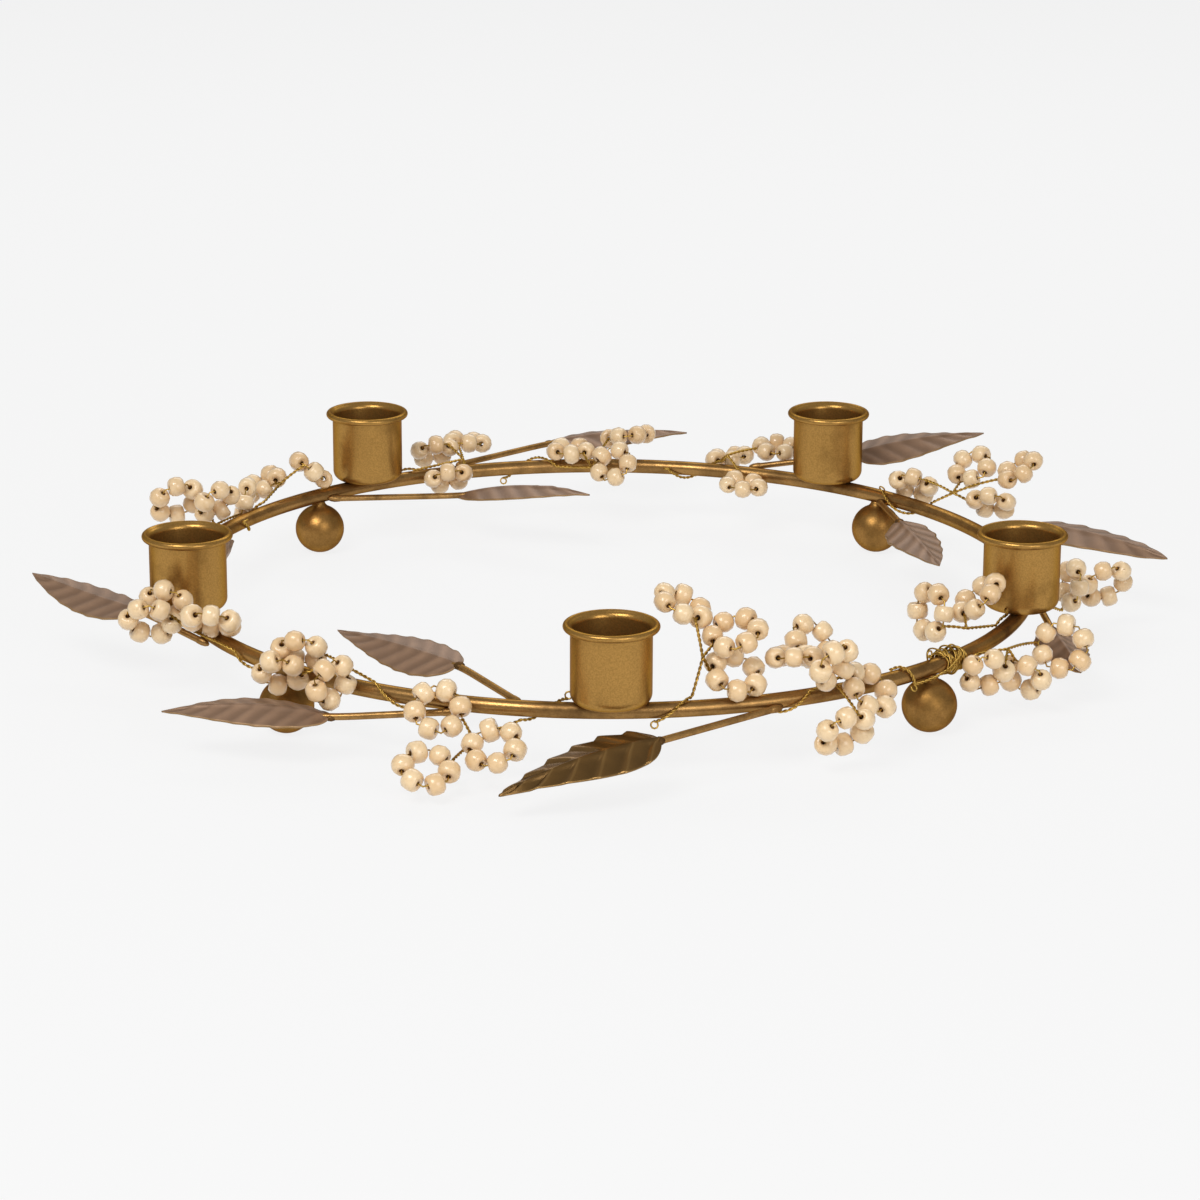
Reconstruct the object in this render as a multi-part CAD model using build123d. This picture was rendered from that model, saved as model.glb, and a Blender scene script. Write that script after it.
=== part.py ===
from build123d import *
import math
import os
from collections import namedtuple

# A wire candle ring for five dinner candles, in millimetres, +Z up.
# The origin is the ring's centre on the table. Station angles are in degrees round the ring
# from +X, so 270 is the front.

# Ring rod
RING_RADIUS = 140.0  # to the middle of the rod
ROD_DIAMETER = 5.0
ROD_SIDE_COUNT = 8  # flats that draw the round section

# Candle cups, spun from sheet with the rim rolled outwards
CUP_COUNT = 5
CUP_FIRST_STATION = 271.0
CUP_DIAMETER = 24.6
CUP_WALL = 0.8
CUP_HEIGHT = 25.0
CUP_CORNER = 3.0  # rounding of the bottom edge
RIM_DIAMETER = 29.0
RIM_ROLL = 2.2  # thickness of the rolled edge
RIM_FLARE = 2.4  # depth over which the mouth opens into the roll

# Ball feet, each welded under the rod on a short neck
FOOT_COUNT = 4
FOOT_FIRST_STATION = 46.0
FOOT_DIAMETER = 17.2
FOOT_SIDE_COUNT = 16
NECK_DIAMETER = 4.0
NECK_LENGTH = 0.8

# Leaves of pressed sheet on wire stems
LEAF_WIDTH = 17.0
LEAF_THICKNESS = 0.6
LEAF_FOLD = 16.0  # degrees that each half falls from the midrib
LEAF_ARCH = 3.0  # height of a full bow from base to tip
STEM_DIAMETER = 2.2
STEM_SIDE_COUNT = 6
WELD_GAP = 0.05

# Wooden beads threaded on brass wire
BEAD_DIAMETER = 7.2
BEAD_LENGTH = 5.6
BEAD_END_DIAMETER = 3.6
BEAD_HOLE = 1.0  # clear width of the three-sided hole
BEAD_SIDE_COUNT = 5
BEAD_CLEARANCE = 0.12  # between a bead's end and the plane that parts it from the next bead

# Brass wire, drawn three-sided: single strand in the beads, twisted pair in the stalks
WIRE_SIDE_COUNT = 3
LOOP_WIRE = 0.6
STALK_WIRE = 0.9
WRAP_BEND_COUNT = 6  # bends in the turn of each stalk round the rod
WRAP_CLEARANCE = 0.2

# Tie winding that binds the rod beside a foot
TIE_STATION = 319.0
TIE_TURNS = 4
TIE_PITCH = 1.7
TIE_WIRE = 0.9
TIE_SLACK = 0.7  # how much looser every other turn lies

# Leaves: root station and lean on the rod, then base and tip as (station, out, up) from the
# rod's middle, the roll that turns the upper face towards the front, and the share of a full bow
Leaf = namedtuple("Leaf", "root lean base tip roll bow")
LEAVES = (
    Leaf(207, -50, (200, 16, 4), (187, 47, 7), 12, -0.2),
    Leaf(251, -40, (238, 14, -5), (223, 42, -6), 8, 1.0),
    Leaf(259, 160, (249, -18, 6), (224, -25, 6), 16, 0.3),
    Leaf(291, -20, (276, 18, -3), (260.5, 42, -13), 18, 1.0),
    Leaf(134, 200, (114, -14, -4), (93, -50, 3), 0, 1.0),
    Leaf(111, 40, (97, 24, 3), (80, 40, 3), 3, 0.7),
    Leaf(67, 40, (55, 17, 8), (46, 60, 12), 15, 0.7),
    Leaf(44, 200, (35, -14, -1), (10.5, -25, -2), 8, 0.3),
    Leaf(19, 40, (17, 14, 6), (4, 49, 3), 12, 0.7),
    Leaf(350, -20, (344.5, 10, -5), (334, 27, -9), 0, 0.3),
    Leaf(199, 205, (188, -6, 0), (167, -11.5, 3), 85, 0.3),
)
# Blade outline from base to tip: share of the length, share of the full width
LEAF_OUTLINE = (
    (0.0, 0.22),
    (0.05, 0.52),
    (0.15, 0.83),
    (0.32, 1.0),
    (0.5, 0.92),
    (0.68, 0.69),
    (0.86, 0.36),
    (1.0, 0.04),
)

# Sprigs: root station on the rod, the fork of the stalks, and the bead loops. Along and reach
# are in bead diameters: along the ring from the root, and off the rod's surface at a lean of
# 0 for outwards and 90 for up. Turn, tilt and phase set how the loop faces.
Fork = namedtuple("Fork", "along lean reach")
Loop = namedtuple("Loop", "along lean reach turn tilt phase beads")
Sprig = namedtuple("Sprig", "root fork loops")
SPRIGS = (
    Sprig(217, Fork(-2.5, 25, 1.25), (
        Loop(-3.7, 16, 2.3, -120, 35, 5, 6),
        Loop(-4.15, 40, 1.7, -130, 35, 20, 5),
        Loop(-1.1, 54, 1.2, -135, 55, 45, 6),
    )),
    Sprig(241, Fork(-1.5, 70, 0.75), (
        Loop(-3.45, 62, 1.15, -150, 40, 10, 5),
        Loop(-3.8, 16, 1.3, -145, 35, -5, 5),
        Loop(-1.2, 22, 1.35, -105, 10, 55, 5),
    )),
    Sprig(260, Fork(-1.75, -60, 1.25), (
        Loop(-3.1, 4, 1.0, -155, -45, 55, 6),
        Loop(-2.7, -22, 3.85, -145, -65, 20, 6),
        Loop(-0.65, -24, 2.05, -10, 60, 0, 6),
    )),
    Sprig(281, Fork(0.5, 100, 1.75), (
        Loop(0.1, 124, 4.15, 65, 65, 15, 6),
        Loop(2.1, 108, 2.65, 130, -65, 30, 6),
        Loop(1.95, 108, 0.95, -170, -60, 50, 6),
    )),
    Sprig(296, Fork(0.75, 50, 0.75), (
        Loop(1.4, 138, 2.2, -170, -40, 15, 5),
        Loop(-0.45, 102, 1.4, 170, 75, 0, 5),
        Loop(0.4, 50, 1.95, -165, 20, 65, 5),
        Loop(2.25, 14, 0.9, -160, -45, 20, 6),
        Loop(0.5, -22, 2.1, 180, 35, 15, 6),
    )),
    Sprig(336, Fork(-1.5, 170, 1.0), (
        Loop(-1.6, 166, 2.75, 60, -10, 50, 6),
        Loop(-0.6, 128, 1.5, -150, 50, 35, 6),
    )),
    Sprig(324, Fork(0.75, 10, 1.25), (
        Loop(-0.4, -24, 1.0, 140, 25, 35, 5),
        Loop(1.55, -30, 1.9, -90, 150, 5, 5),
        Loop(3.1, -2, 2.65, -75, 20, 25, 6),
    )),
    Sprig(352, Fork(2.0, -40, 1.75), (
        Loop(3.4, -8, 3.5, -70, 150, 5, 6),
        Loop(1.75, 0, 1.65, 20, -10, 30, 5),
    )),
    Sprig(36, Fork(-0.75, 40, 1.0), (
        Loop(1.75, 40, 0.75, -155, 135, 65, 5),
        Loop(-0.35, 36, 2.8, 15, -50, 25, 5),
        Loop(-2.7, 22, 1.65, -135, 130, 50, 5),
        Loop(-2.5, 32, 3.8, 160, 55, 0, 5),
    )),
    Sprig(72, Fork(-0.25, 90, 0.5), (
        Loop(0.1, 12, 1.2, -115, -80, 55, 5),
        Loop(-2.15, 30, 1.7, -140, 85, 70, 5),
        Loop(-1.75, 184, 1.3, -70, 85, 35, 5),
    )),
    Sprig(97, Fork(-1.75, 170, 0.75), (
        Loop(-3.5, 28, 1.9, -150, 105, 35, 6),
        Loop(-0.7, 104, 0.6, 120, 90, 40, 5),
        Loop(-2.9, 162, 1.35, -25, -45, 25, 5),
    )),
    Sprig(119, Fork(-2.5, 115, 0.5), (
        Loop(-1.5, 40, 1.05, -10, 50, 15, 5),
        Loop(-3.45, 24, 2.0, -40, 80, 50, 5),
        Loop(-1.2, 172, 1.15, 175, -55, 35, 5),
    )),
    Sprig(147, Fork(-1.5, 70, 0.75), (
        Loop(-1.7, 22, 1.55, -125, -60, 45, 5),
        Loop(-3.3, 82, 1.05, 70, -50, 10, 5),
    )),
    Sprig(158, Fork(-0.5, 0, 0.5), (
        Loop(-0.2, 22, 2.6, -40, 30, 20, 6),
        Loop(-0.4, 60, 1.05, -25, 30, 15, 5),
        Loop(-3.3, 22, 0.75, -150, -10, 20, 5),
    )),
)

ROD_RADIUS = ROD_DIAMETER / 2
ROD_HEIGHT = FOOT_DIAMETER + NECK_LENGTH + ROD_RADIUS


# Places round the ring

def rod_frame(station):
    """Plane at the rod's middle: x outwards, y along the ring, z up."""
    angle = math.radians(station)
    outwards = Vector(math.cos(angle), math.sin(angle), 0)
    middle = outwards * RING_RADIUS + Vector(0, 0, ROD_HEIGHT)
    return Plane(origin=middle, x_dir=outwards, z_dir=(0, 0, 1))


def off_rod(station, lean, distance):
    """Point at a distance from the rod's middle, leaning from outwards (0) to up (90)."""
    angle = math.radians(lean)
    local = Vector(distance * math.cos(angle), 0, distance * math.sin(angle))
    return rod_frame(station).from_local_coords(local)


def beside_ring(station, out, up):
    return rod_frame(station).from_local_coords(Vector(out, 0, up))


def sprig_place(root, along, lean, reach):
    """Station and point of a place that a sprig gives in bead diameters."""
    station = root + math.degrees(along * BEAD_DIAMETER / RING_RADIUS)
    return station, off_rod(station, lean, ROD_RADIUS + reach * BEAD_DIAMETER)


def arc_points(centre, radius, start, stop, steps):
    """Points on a round edge of a profile, as flats."""
    turns = (math.radians(start + (stop - start) * i / steps) for i in range(steps + 1))
    return [(centre[0] + radius * math.cos(t), centre[1] + radius * math.sin(t)) for t in turns]


def round_points(radius, sides, height=0.0):
    """Corners of a level regular polygon."""
    turns = [math.radians(360 * i / sides) for i in range(sides)]
    return [Vector(radius * math.cos(t), radius * math.sin(t), height) for t in turns]


def turned(profile):
    """Solid of revolution about Z from (radius, height) points."""
    return revolve(Plane.XZ * make_face(Polyline(*profile, close=True)), axis=Axis.Z)


def flat_sided(rings, closed=False):
    """Solid with flat faces between rings of corners, capped unless the last meets the first."""
    outlines = []
    if closed:
        rings = rings + rings[:1]
    else:
        outlines += [rings[0], rings[-1]]
    for near, far in zip(rings, rings[1:]):
        for i in range(len(near)):
            outlines.append([near[i - 1], near[i], far[i], far[i - 1]])
    faces = [Face(Wire.make_polygon(corners)) for corners in outlines]
    return Solid(Shell(faces))


def wire_run(start, stop, width, sides):
    """Straight length of wire with a flat-sided section."""
    run = stop - start
    return extrude(Plane(origin=start, z_dir=run) * RegularPolygon(width / 2, sides), run.length)


# Metalwork

def ring_rod():
    section = Pos(RING_RADIUS, ROD_HEIGHT) * RegularPolygon(ROD_RADIUS, ROD_SIDE_COUNT)
    return revolve(Plane.XZ * section, axis=Axis.Z)


def candle_cup():
    outer = CUP_DIAMETER / 2
    inner = outer - CUP_WALL
    roll = RIM_ROLL / 2
    roll_centre = (RIM_DIAMETER / 2 - roll, CUP_HEIGHT - roll)
    profile = [(0, 0)]
    profile += arc_points((outer - CUP_CORNER, CUP_CORNER), CUP_CORNER, -90, 0, 2)
    profile += [(outer, CUP_HEIGHT - RIM_ROLL)]
    profile += arc_points(roll_centre, roll, -90, 90, 3)
    profile += [(inner, CUP_HEIGHT - RIM_FLARE), (inner, CUP_WALL), (0, CUP_WALL)]
    return turned(profile)


def ball_foot():
    """Ball drawn with flat sides, and the neck that meets the rod."""
    radius = FOOT_DIAMETER / 2
    neck = NECK_DIAMETER / 2
    neck_turn = math.degrees(math.acos(neck / radius))
    profile = arc_points((0, radius), radius, -neck_turn, neck_turn, 6)
    profile += [(neck, FOOT_DIAMETER + NECK_LENGTH)]
    profile[0] = (neck, 0)
    return flat_sided([round_points(width, FOOT_SIDE_COUNT, z) for width, z in profile])


def around(solid, count, first_station, height):
    """Copies of a part turned on Z, evenly spaced round the ring at a height."""
    copies = []
    for i in range(count):
        station = first_station + 360 * i / count
        copies.append(Rot(0, 0, station) * Pos(RING_RADIUS, 0, height) * solid)
    return Compound(children=copies)


# Leaves

def blade_frame(leaf):
    """Plane at the blade's base: x along the midrib, z out of the upper face; and its length."""
    base = beside_ring(*leaf.base)
    tip = beside_ring(*leaf.tip)
    along = tip - base
    level_side = Vector(0, 0, 1).cross(along).normalized()
    if level_side.Y < 0:
        roll = -leaf.roll
    else:
        roll = leaf.roll
    upper = along.cross(level_side).normalized().rotate(Axis((0, 0, 0), along), roll)
    return Plane(origin=base, x_dir=along, z_dir=upper), along.length


def blade_bow(leaf, share):
    return 4 * LEAF_ARCH * leaf.bow * share * (1 - share)


def leaf_blade(leaf):
    """Bowed blade of sheet whose halves fall from the midrib."""
    frame, length = blade_frame(leaf)
    fall = math.tan(math.radians(LEAF_FOLD))
    sections = []
    for share, width in LEAF_OUTLINE:
        half = width * LEAF_WIDTH / 2
        rib = blade_bow(leaf, share)
        edge = rib - half * fall
        top = LEAF_THICKNESS
        ring = [(-half, edge), (0, rib), (half, edge)]
        ring += [(half, edge + top), (0, rib + top), (-half, edge + top)]
        sections.append([frame.from_local_coords(Vector(share * length, y, z)) for y, z in ring])
    return flat_sided(sections)


def leaf_stem(leaf):
    """Straight wire from its weld beside the rod to the end of the blade."""
    frame = blade_frame(leaf)[0]
    radius = STEM_DIAMETER / 2
    start = off_rod(leaf.root, leaf.lean, ROD_RADIUS + radius + WELD_GAP)
    base = frame.from_local_coords(Vector(0, 0, LEAF_THICKNESS))
    slant = math.radians((base - start).get_angle(frame.x_dir))
    run = base - frame.x_dir * (radius * math.sin(slant) + WELD_GAP) - start
    return wire_run(start, start + run, STEM_DIAMETER, STEM_SIDE_COUNT)


# Bead sprigs

def loop_radius(beads):
    """Radius of the bead centres when neighbours just clear each other's ends."""
    half_angle = math.pi / beads
    return BEAD_END_DIAMETER / 2 + (BEAD_LENGTH / 2 + BEAD_CLEARANCE) / math.tan(half_angle)


def loop_frame(root, loop):
    """Plane of a bead loop, z along the way that it faces."""
    station, centre = sprig_place(root, loop.along, loop.lean, loop.reach)
    axes = rod_frame(station)
    turn = math.radians(loop.turn)
    tilt = math.radians(loop.tilt)
    level = axes.x_dir * math.cos(turn) + axes.y_dir * math.sin(turn)
    side = axes.y_dir * math.cos(turn) - axes.x_dir * math.sin(turn)
    facing = level * math.cos(tilt) + axes.z_dir * math.sin(tilt)
    return Plane(origin=centre, x_dir=side, z_dir=facing)


def wooden_bead():
    """Barrel bead with its hole along Z."""
    half = BEAD_LENGTH / 2
    rounds = ((-half, BEAD_END_DIAMETER), (0, BEAD_DIAMETER), (half, BEAD_END_DIAMETER))
    barrel = flat_sided([round_points(width / 2, BEAD_SIDE_COUNT, z) for z, width in rounds])
    return barrel - extrude(RegularPolygon(BEAD_HOLE, WIRE_SIDE_COUNT), BEAD_LENGTH, both=True)


def sprig_beads(sprig, bead):
    """Every bead of a sprig, each a solid of its own."""
    placed = []
    for loop in sprig.loops:
        frame = loop_frame(sprig.root, loop)
        radius = loop_radius(loop.beads)
        for i in range(loop.beads):
            turn = math.radians(loop.phase + 360 * i / loop.beads)
            outwards = frame.x_dir * math.cos(turn) + frame.y_dir * math.sin(turn)
            bore = frame.z_dir.cross(outwards)
            seat = Plane(origin=frame.origin + outwards * radius, x_dir=outwards, z_dir=bore)
            placed.append(seat.location * bead)
    return placed


def loop_wire(root, loop):
    """The three-sided strand through one loop's beads, bent between them, and its bends."""
    frame = loop_frame(root, loop)
    half_angle = math.pi / loop.beads
    bends = []
    rings = []
    for i in range(loop.beads):
        turn = math.radians(loop.phase) + (2 * i + 1) * half_angle
        outwards = frame.x_dir * math.cos(turn) + frame.y_dir * math.sin(turn)
        bends.append(frame.origin + outwards * loop_radius(loop.beads) / math.cos(half_angle))
        stretch = 1 / math.cos(half_angle)
        section = round_points(LOOP_WIRE / 2, WIRE_SIDE_COUNT)
        rings.append([
            bends[-1] + outwards * (corner.X * stretch) + frame.z_dir * corner.Y for corner in section
        ])
    return flat_sided(rings, closed=True), bends


def biarc(start, start_way, stop, stop_way):
    """Two tangent arcs from one point and direction to another."""
    gap = stop - start
    ways = start_way + stop_way
    lead = 2 * (1 - start_way.dot(stop_way))
    reach = gap.dot(ways)
    handle = (math.sqrt(reach * reach + lead * gap.dot(gap)) - reach) / lead
    middle = (start + stop + (start_way - stop_way) * handle) / 2
    way = (stop - stop_way * handle - start - start_way * handle).normalized()
    return [
        Edge.make_tangent_arc(start, start_way, middle),
        Edge.make_tangent_arc(middle, way, stop),
    ]


def winding(station, spots, width):
    """Wire wound on the rod through (turn, radius, along) spots a quarter turn apart."""
    frame = rod_frame(station)
    points = []
    for turn, radius, along in spots:
        angle = math.radians(turn)
        local = Vector(radius * math.cos(angle), along, radius * math.sin(angle))
        points.append(frame.from_local_coords(local))
    ways = []
    for i, (turn, radius, along) in enumerate(spots):
        angle = math.radians(turn)
        pace = spots[min(i + 1, len(spots) - 1)][2] - spots[max(i - 1, 0)][2]
        pace = pace / (2 if 0 < i < len(spots) - 1 else 1)
        quarter = radius * math.pi / 2
        local = Vector(-math.sin(angle) * quarter, pace, math.cos(angle) * quarter)
        ways.append((frame.from_local_coords(local) - frame.origin).normalized())
    edges = [Edge.make_line(points[0] - ways[0] * width, points[0])]
    for i in range(len(points) - 1):
        edges += biarc(points[i], ways[i], points[i + 1], ways[i + 1])
    edges.append(Edge.make_line(points[-1], points[-1] + ways[-1] * width))
    path = Wire(edges)
    section = Plane(origin=path @ 0, z_dir=path % 0) * RegularPolygon(width / 2, WIRE_SIDE_COUNT)
    return sweep(section, path=path, clean=False), path


def least_gap(path, turns, width):
    """Least clear distance between a winding's own turns, on points along it."""
    count = 24 * turns
    points = [path @ (i / count) for i in range(count + 1)]
    apart = 12
    pairs = ((p, q) for i, p in enumerate(points) for q in points[i + apart:])
    return min((p - q).length for p, q in pairs) - width


def rod_wrap(station, lean):
    """One turn of stalk wire round the rod, and the point of it at a lean."""
    frame = rod_frame(station)
    middle = (ROD_RADIUS + WRAP_CLEARANCE) / math.cos(math.pi / WRAP_BEND_COUNT) + STALK_WIRE / 2
    rings = []
    for i in range(WRAP_BEND_COUNT):
        turn = math.radians(lean + 360 * i / WRAP_BEND_COUNT)
        outwards = frame.x_dir * math.cos(turn) + frame.z_dir * math.sin(turn)
        section = round_points(STALK_WIRE / 2, WIRE_SIDE_COUNT)
        rings.append([
            frame.origin + outwards * (middle + corner.X) + frame.y_dir * corner.Y for corner in section
        ])
    return flat_sided(rings, closed=True), off_rod(station, lean, middle)


def sprig_wire(sprig):
    """A sprig's brass wire: wrap on the rod, stalk to the fork, branches and loops."""
    wrap, start = rod_wrap(sprig.root, sprig.fork.lean)
    fork = sprig_place(sprig.root, *sprig.fork)[1]
    pieces = [wrap, wire_run(start, fork, STALK_WIRE, WIRE_SIDE_COUNT)]
    for loop in sprig.loops:
        strand, bends = loop_wire(sprig.root, loop)
        joint = min(bends, key=lambda bend: (bend - fork).length)
        pieces += [strand, wire_run(fork, joint, STALK_WIRE, WIRE_SIDE_COUNT)]
    return pieces[0].fuse(*pieces[1:])


def tie_winding():
    """Loose turns of wire that bind the rod, every other turn standing further off."""
    tight = ROD_RADIUS + WRAP_CLEARANCE + TIE_WIRE / 2
    quarters = 4 * TIE_TURNS
    spots = []
    for i in range(quarters + 1):
        loose = TIE_SLACK * (1 - math.cos(math.pi * i / 4)) / 2
        spots.append((90 * i, tight + loose, TIE_PITCH * (i - quarters / 2) / 4))
    wire, path = winding(TIE_STATION, spots, TIE_WIRE)
    print("tie winding least gap", round(least_gap(path, TIE_TURNS, TIE_WIRE), 2), "mm")
    return wire


def build():
    bead = wooden_bead()
    nodes = {
        "ring_rod": ring_rod(),
        "candle_cups": around(candle_cup(), CUP_COUNT, CUP_FIRST_STATION, ROD_HEIGHT + ROD_RADIUS),
        "ball_feet": around(ball_foot(), FOOT_COUNT, FOOT_FIRST_STATION, 0),
    }
    for i, leaf in enumerate(LEAVES, 1):
        nodes[f"leaf_blade_{i:02d}"] = leaf_blade(leaf)
        nodes[f"leaf_stem_{i:02d}"] = leaf_stem(leaf)
    for i, sprig in enumerate(SPRIGS, 1):
        nodes[f"sprig_beads_{i:02d}"] = Compound(children=sprig_beads(sprig, bead))
    wires = [sprig_wire(sprig) for sprig in SPRIGS]
    nodes["brass_wires"] = Compound(children=wires + [tie_winding()])
    return nodes


os.makedirs("parts", exist_ok=True)
for name, shape in build().items():
    shape.label = name
    export_step(shape, f"parts/{name}.step")
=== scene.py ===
import math
import random
from collections import namedtuple

import bmesh
import bpy
from bpy.props import FloatProperty, FloatVectorProperty, PointerProperty
from mathutils import Matrix, Vector


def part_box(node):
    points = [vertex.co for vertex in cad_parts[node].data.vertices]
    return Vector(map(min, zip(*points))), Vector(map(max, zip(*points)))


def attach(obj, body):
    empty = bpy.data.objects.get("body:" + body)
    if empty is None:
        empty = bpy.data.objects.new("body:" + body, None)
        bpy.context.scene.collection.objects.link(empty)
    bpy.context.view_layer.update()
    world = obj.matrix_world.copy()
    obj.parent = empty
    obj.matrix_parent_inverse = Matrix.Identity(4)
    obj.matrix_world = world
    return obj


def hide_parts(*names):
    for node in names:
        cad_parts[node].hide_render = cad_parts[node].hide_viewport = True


bl_info = {
    "name": "Candle ring",
    "version": (1, 0, 0),
    "blender": (4, 5, 0),
    "location": "View3D > Sidebar > Candle ring",
    "description": "Rolled cups, pressed leaves and bead sprigs on a wire candle ring",
    "category": "Object",
}

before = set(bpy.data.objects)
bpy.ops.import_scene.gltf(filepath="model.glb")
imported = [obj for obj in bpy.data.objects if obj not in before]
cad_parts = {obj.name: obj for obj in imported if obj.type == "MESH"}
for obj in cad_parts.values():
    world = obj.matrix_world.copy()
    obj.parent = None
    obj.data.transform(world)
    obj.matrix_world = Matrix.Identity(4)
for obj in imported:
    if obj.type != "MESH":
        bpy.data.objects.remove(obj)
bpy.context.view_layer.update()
MM = 0.001

# Places round the ring. Stations are degrees from +X, so 270 is the front.
CUP_FIRST = 271
CUP_STATIONS = [CUP_FIRST + 72 * i for i in range(5)]
FOOT_FIRST = 46
FOOT_STATIONS = [FOOT_FIRST + 90 * i for i in range(4)]

# Leaves: root station and lean on the rod, base and tip as (station, out, up) in millimetres
# from the rod's middle, the roll of the upper face towards the front, the share of a full bow,
# the height of the veins in millimetres, the pairs of veins and the finish
Leaf = namedtuple("Leaf", "root lean base tip roll bow veins pairs finish")
LEAVES = (
    Leaf(207, -50, (200, 16, 4), (187, 47, 7), 12, -0.2, 0.30, 7, "taupe"),
    Leaf(251, -40, (238, 14, -5), (223, 42, -6), 8, 1.0, 0.22, 8, "taupe"),
    Leaf(259, 160, (249, -18, 6), (224, -25, 6), 16, 0.3, 0.22, 8, "taupe"),
    Leaf(291, -20, (276, 18, -3), (260.5, 42, -13), 18, 1.0, 0.95, 6, "bronze"),
    Leaf(134, 200, (114, -14, -4), (93, -50, 3), 0, 1.0, 0.28, 7, "taupe"),
    Leaf(111, 40, (97, 24, 3), (80, 40, 3), 3, 0.7, 0.28, 7, "taupe"),
    Leaf(67, 40, (55, 17, 8), (46, 60, 12), 15, 0.7, 0.28, 7, "taupe"),
    Leaf(44, 200, (35, -14, -1), (10.5, -25, -2), 8, 0.3, 0.36, 6, "taupe"),
    Leaf(19, 40, (17, 14, 6), (4, 49, 3), 12, 0.7, 0.36, 6, "taupe"),
    Leaf(350, -20, (344.5, 10, -5), (334, 27, -9), 0, 0.3, 0.36, 6, "taupe"),
    Leaf(199, 205, (188, -6, 0), (167, -11.5, 3), 85, 0.3, 0.30, 7, "taupe"),
)

# Sprigs: root station on the rod, the fork of the stalks, and the bead loops. Along and reach
# are in bead diameters: along the ring from the root, and off the rod's surface at a lean of
# 0 for outwards and 90 for up. Turn, tilt and phase set how the loop faces.
Fork = namedtuple("Fork", "along lean reach")
Loop = namedtuple("Loop", "along lean reach turn tilt phase beads")
Sprig = namedtuple("Sprig", "root fork loops")
SPRIGS = (
    Sprig(217, Fork(-2.5, 25, 1.25), (
        Loop(-3.7, 16, 2.3, -120, 35, 5, 6),
        Loop(-4.15, 40, 1.7, -130, 35, 20, 5),
        Loop(-1.1, 54, 1.2, -135, 55, 45, 6),
    )),
    Sprig(241, Fork(-1.5, 70, 0.75), (
        Loop(-3.45, 62, 1.15, -150, 40, 10, 5),
        Loop(-3.8, 16, 1.3, -145, 35, -5, 5),
        Loop(-1.2, 22, 1.35, -105, 10, 55, 5),
    )),
    Sprig(260, Fork(-1.75, -60, 1.25), (
        Loop(-3.1, 4, 1.0, -155, -45, 55, 6),
        Loop(-2.7, -22, 3.85, -145, -65, 20, 6),
        Loop(-0.65, -24, 2.05, -10, 60, 0, 6),
    )),
    Sprig(281, Fork(0.5, 100, 1.75), (
        Loop(0.1, 124, 4.15, 65, 65, 15, 6),
        Loop(2.1, 108, 2.65, 130, -65, 30, 6),
        Loop(1.95, 108, 0.95, -170, -60, 50, 6),
    )),
    Sprig(296, Fork(0.75, 50, 0.75), (
        Loop(1.4, 138, 2.2, -170, -40, 15, 5),
        Loop(-0.45, 102, 1.4, 170, 75, 0, 5),
        Loop(0.4, 50, 1.95, -165, 20, 65, 5),
        Loop(2.25, 14, 0.9, -160, -45, 20, 6),
        Loop(0.5, -22, 2.1, 180, 35, 15, 6),
    )),
    Sprig(336, Fork(-1.5, 170, 1.0), (
        Loop(-1.6, 166, 2.75, 60, -10, 50, 6),
        Loop(-0.6, 128, 1.5, -150, 50, 35, 6),
    )),
    Sprig(324, Fork(0.75, 10, 1.25), (
        Loop(-0.4, -24, 1.0, 140, 25, 35, 5),
        Loop(1.55, -30, 1.9, -90, 150, 5, 5),
        Loop(3.1, -2, 2.65, -75, 20, 25, 6),
    )),
    Sprig(352, Fork(2.0, -40, 1.75), (
        Loop(3.4, -8, 3.5, -70, 150, 5, 6),
        Loop(1.75, 0, 1.65, 20, -10, 30, 5),
    )),
    Sprig(36, Fork(-0.75, 40, 1.0), (
        Loop(1.75, 40, 0.75, -155, 135, 65, 5),
        Loop(-0.35, 36, 2.8, 15, -50, 25, 5),
        Loop(-2.7, 22, 1.65, -135, 130, 50, 5),
        Loop(-2.5, 32, 3.8, 160, 55, 0, 5),
    )),
    Sprig(72, Fork(-0.25, 90, 0.5), (
        Loop(0.1, 12, 1.2, -115, -80, 55, 5),
        Loop(-2.15, 30, 1.7, -140, 85, 70, 5),
        Loop(-1.75, 184, 1.3, -70, 85, 35, 5),
    )),
    Sprig(97, Fork(-1.75, 170, 0.75), (
        Loop(-3.5, 28, 1.9, -150, 105, 35, 6),
        Loop(-0.7, 104, 0.6, 120, 90, 40, 5),
        Loop(-2.9, 162, 1.35, -25, -45, 25, 5),
    )),
    Sprig(119, Fork(-2.5, 115, 0.5), (
        Loop(-1.5, 40, 1.05, -10, 50, 15, 5),
        Loop(-3.45, 24, 2.0, -40, 80, 50, 5),
        Loop(-1.2, 172, 1.15, 175, -55, 35, 5),
    )),
    Sprig(147, Fork(-1.5, 70, 0.75), (
        Loop(-1.7, 22, 1.55, -125, -60, 45, 5),
        Loop(-3.3, 82, 1.05, 70, -50, 10, 5),
    )),
    Sprig(158, Fork(-0.5, 0, 0.5), (
        Loop(-0.2, 22, 2.6, -40, 30, 20, 6),
        Loop(-0.4, 60, 1.05, -25, 30, 15, 5),
        Loop(-3.3, 22, 0.75, -150, -10, 20, 5),
    )),
)

# Bead shapes: how full the sides are, from a ball to a barrel, and the share of the full length
BEAD_SHAPES = ((2.1, 0.99), (2.5, 0.93), (3.0, 0.88))

# How beads differ: shares of the full width, lean in radians and drift off the loop in millimetres
BEAD_WIDTHS = (0.92, 1.03)
BEAD_LEAN = 0.17
BEAD_DRIFT = 0.3

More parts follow.
